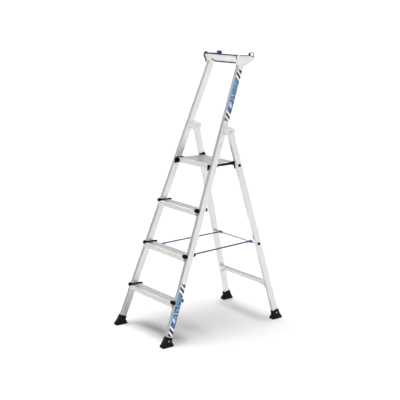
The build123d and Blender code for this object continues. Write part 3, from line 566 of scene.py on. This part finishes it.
def webbing_ring(share, sign, half_width, half_thickness, lift=0.0):
    """Cross-section of a strap at a share of its length, with the weave's relief."""
    start, end, sideways, up = strap_line(sign)
    centre = start.lerp(end, share) + up * lift
    distance = (end - start).length * share
    ring = []
    for face in (1, -1):
        for index in range(RING_STEPS + 1):
            across = (index / RING_STEPS * 2 - 1) * half_width * face
            thinning = 1 - max(0.0, abs(across) / half_width - 0.9) * 6
            phase = (distance + WEAVE_SLANT * abs(across)) * 2 * math.pi / WEAVE_PITCH
            woven = abs(across) < 0.8 * half_width
            relief = WEAVE_RELIEF * math.sin(phase) if woven else 0.0
            height = face * half_thickness * thinning + relief
            ring.append(centre + sideways * across + up * height)
    return ring


def add_webbing(side, sign):
    """The woven strap itself."""
    start, end = strap_line(sign)[:2]
    count = int((end - start).length / (WEAVE_PITCH / 4))
    half_width = STRAP_WIDTH / 2
    half_thickness = STRAP_THICKNESS / 2
    rings = [webbing_ring(i / count, sign, half_width, half_thickness) for i in range(count + 1)]
    mesh = tube_mesh(side + "_strap", rings)
    shade_softly(mesh, 60.0)
    strap = new_piece(side + "_woven_strap", mesh, "blue_webbing")
    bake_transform(strap)
    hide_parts(side + "_strap_front_half", side + "_strap_rear_half")
    return strap


def add_overlap(side, sign, end):
    """The strap's end turned back under itself, where it is sewn."""
    low, high = OVERLAP_SHARES[end]
    half_width = STRAP_WIDTH / 2 - OVERLAP_INSET
    rings = []
    for index in range(OVERLAP_ROWS + 1):
        share = low + (high - low) * index / OVERLAP_ROWS
        ring = webbing_ring(share, sign, half_width, OVERLAP_HALF_THICKNESS, OVERLAP_DROP)
        rings.append(ring)
    mesh = tube_mesh(f"{side}_{end}_overlap", rings)
    patch = new_piece(f"{side}_strap_{end}_overlap", mesh, "blue_webbing")
    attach(patch, f"{side}_strap_{end}")
    return patch


def add_thread(form, centre, direction, up):
    """One stitch: a short six-sided thread with pointed ends."""
    across = up.cross(direction).normalized()
    rings = []
    for along, size in ((-0.5, 0.35), (-0.25, 1.0), (0.25, 1.0), (0.5, 0.35)):
        ring = []
        for index in range(6):
            angle = math.pi / 3 * index
            offset = (across * math.cos(angle) + up * math.sin(angle)) * STITCH_RADIUS * size
            ring.append(form.verts.new(centre + direction * STITCH_LENGTH * along + offset))
        rings.append(ring)
    for ring, after in zip(rings, rings[1:]):
        for index in range(6):
            beside = (index + 1) % 6
            form.faces.new((ring[index], ring[beside], after[beside], after[index]))
    form.faces.new(rings[0][::-1])
    form.faces.new(rings[-1])


def add_stitches(side, sign, end):
    """Boxed stitching on an overlap: short raised threads round it and across it, on both faces."""
    start, finish, sideways, up = strap_line(sign)
    low, high = STITCH_SHARES[end]
    half = STRAP_WIDTH / 2 - STITCH_INSET
    corners = [
        start.lerp(finish, share) + sideways * across
        for share, across in ((low, -half), (high, -half), (high, half), (low, half))
    ]
    form = bmesh.new()
    for first, last in ((0, 1), (1, 2), (2, 3), (3, 0), (0, 2), (1, 3)):
        begin = corners[first]
        stop = corners[last]
        count = max(2, int((stop - begin).length / STITCH_PITCH))
        direction = (stop - begin).normalized()
        for index in range(count):
            middle = begin.lerp(stop, (index + 0.5) / count)
            for height in (STITCH_LIFT, STITCH_DROP):
                add_thread(form, middle + up * height, direction, up)
    mesh = bpy.data.meshes.new(f"{side}_{end}_stitches")
    form.to_mesh(mesh)
    form.free()
    shade_softly(mesh, 60.0)
    piece = new_piece(f"{side}_strap_{end}_stitches", mesh, "thread")
    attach(piece, f"{side}_strap_{end}")
    return piece


def add_strap(side):
    """One strap with its sewn ends."""
    sign = 1 if side == "right" else -1
    strap = add_webbing(side, sign)
    overlaps = [add_overlap(side, sign, end) for end in ("front", "rear")]
    stitches = [add_stitches(side, sign, end) for end in ("front", "rear")]


# ---- tray ---------------------------------------------------------------------------------------
def add_tray_shade_strip():
    """Painted shade: a dark strip standing in for the shadowed lower edge of the tray's front wall,
    rising at its left end.
    """
    rings = []
    for x, z in SHADE_STRIP_LINE:
        ring = []
        for index in range(8):
            angle = math.pi / 4 * (index + 0.5)
            y = SHADE_STRIP_MIDDLE_Y + SHADE_STRIP_HALF_DEPTH * math.cos(angle)
            ring.append(Vector((x, y, z + SHADE_STRIP_HALF_HEIGHT * math.sin(angle))))
        rings.append(ring)
    # painted shade: the strip takes the dark rim plastic so the wall's lower edge reads as shadowed
    strip = new_piece("tray_shade_strip", tube_mesh("tray_shade_strip", rings), "rim_plastic")
    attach(strip, body_of["tray"])


# ---- make the scene -----------------------------------------------------------------------------
body_of = {}
for body_name, body_nodes in frame["record"]["behaviour"]["bodies"].items():
    for node_name in body_nodes:
        body_of[node_name] = body_name

right_stile = (-LEG_TAPER, STILE_LEAN, 1)
left_stile = (LEG_TAPER, STILE_LEAN, 1)
right_leg = (-LEG_TAPER, REAR_LEAN, 1)
left_leg = (LEG_TAPER, REAR_LEAN, 1)
sideways_run = (1, 0, 0)
slot_materials = {
    "right_front_stile": extruded_aluminium("stile_right", ALUMINIUM, right_stile),
    "left_front_stile": extruded_aluminium("stile_left", ALUMINIUM, left_stile),
    "right_rear_leg": extruded_aluminium("leg_right", ALUMINIUM, right_leg),
    "left_rear_leg": extruded_aluminium("leg_left", ALUMINIUM, left_leg),
    "tread_aluminium": extruded_aluminium("tread", TREAD_ALUMINIUM, sideways_run, 0.25),
    "crossbar_tube": extruded_aluminium("crossbar", CROSSBAR_ALUMINIUM, sideways_run, 0.35),
    "bracket_metal": extruded_aluminium("bracket", BRACKET_ALUMINIUM, (0, 0.4, 1), 0.42),
    "zinc_steel": zinc_plate("zinc"),
    "ring_holder": zinc_plate("dark_zinc", 0.35),
    "black_plastic": moulded_plastic("black_plastic", BLACK_PLASTIC, 0.5, 0.06),
    "boot_rubber": moulded_plastic("rubber", RUBBER, 0.6, 0.12, grain=900.0, depth=0.0001),
    "blue_webbing": woven_webbing("webbing"),
    "thread": moulded_plastic("thread", THREAD_BLUE, 0.8),
    "tray_plastic": moulded_plastic(
        "tray_plastic", TRAY_WHITE, 0.45, grain=700.0, depth=0.00003, wear=0.035
    ),
    "rim_plastic": moulded_plastic("rim_plastic", RIM_BLUE, 0.4, 0.12),
    "corner_hook": moulded_plastic("hook_plastic", HOOK_BLUE, 0.4, 0.15),
    "blue_plastic": moulded_plastic("blue_plastic", CLIP_BLUE, 0.4, 0.2),
    "upper_label": striped_label("upper_label", *UPPER_LABEL_ENDS),
    "lower_label": striped_label("lower_label", *LOWER_LABEL_ENDS),
}

bpy.context.scene.view_settings.view_transform = "Standard"
add_camera()
add_world()
add_floor()
add_lights()
paint()
for side in ("left", "right"):
    add_strap(side)
    soften_side(side)
soften("tray", TRAY_ROUNDING)
soften("rim_clip", CLIP_ROUNDING)
add_tray_shade_strip()
